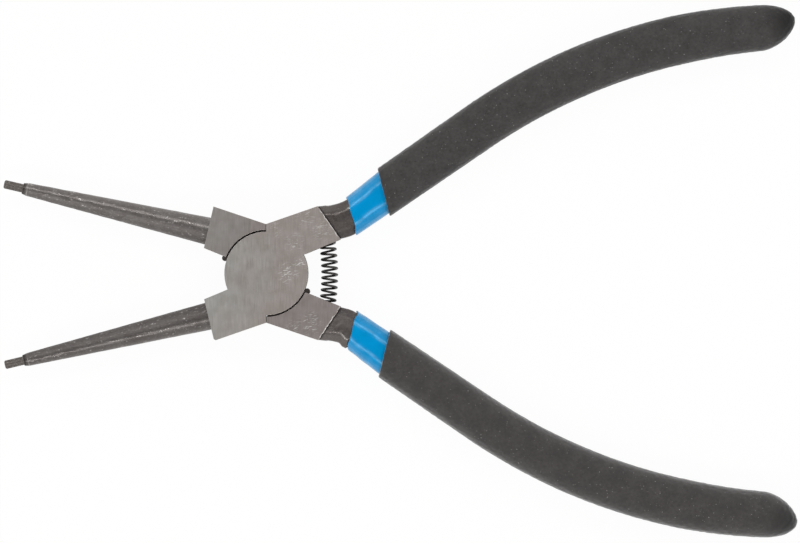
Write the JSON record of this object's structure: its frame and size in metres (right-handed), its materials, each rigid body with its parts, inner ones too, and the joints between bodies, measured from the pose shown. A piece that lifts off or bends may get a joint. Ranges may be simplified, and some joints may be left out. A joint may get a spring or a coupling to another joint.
{
  "type": "circlip pliers",
  "caption": "Straight internal circlip pliers: lapped forged halves on a flush rivet, tapered jaws with pin tips, a bowed return spring and soft dipped grips.",
  "frame": {"origin": "on the pivot axis, in the rear face of the joint head", "axes": "+X from the pivot towards the handles, along the centre line between them; +Z along the pivot axis, towards the front; +Y towards the handle of the front half"},
  "size_m": [0.1664, 0.1118, 0.009],
  "materials": {
    "forged_steel": "blackened forging, ground bright on the flat faces of the head",
    "ground_steel": "ground flush with the head",
    "spring_steel": "blackened, slightly oily",
    "sleeve_blue": "glossy dipped plastic",
    "grip_grey": "matt, finely pebbled dipped plastic"
  },
  "bodies": {
    "rear_lever": {"rear_half": "forged_steel", "pivot_rivet": "ground_steel", "return_spring": "spring_steel", "rear_tip_pin": "spring_steel", "rear_sleeve": "sleeve_blue", "rear_grip": "grip_grey"},
    "front_lever": {"front_half": "forged_steel", "front_tip_pin": "spring_steel", "front_sleeve": "sleeve_blue", "front_grip": "grip_grey"}
  },
  "joints": [
    {"name": "pivot", "type": "hinge", "parent": "rear_lever", "child": "front_lever", "pos_m": [0, 0, 0], "axis": [0, 0, -1], "range_deg": [0, 35.5], "stiffness_Nm_per_rad": 0.32, "springref_deg": -18.91, "deforming": ["return_spring"]}
  ]
}
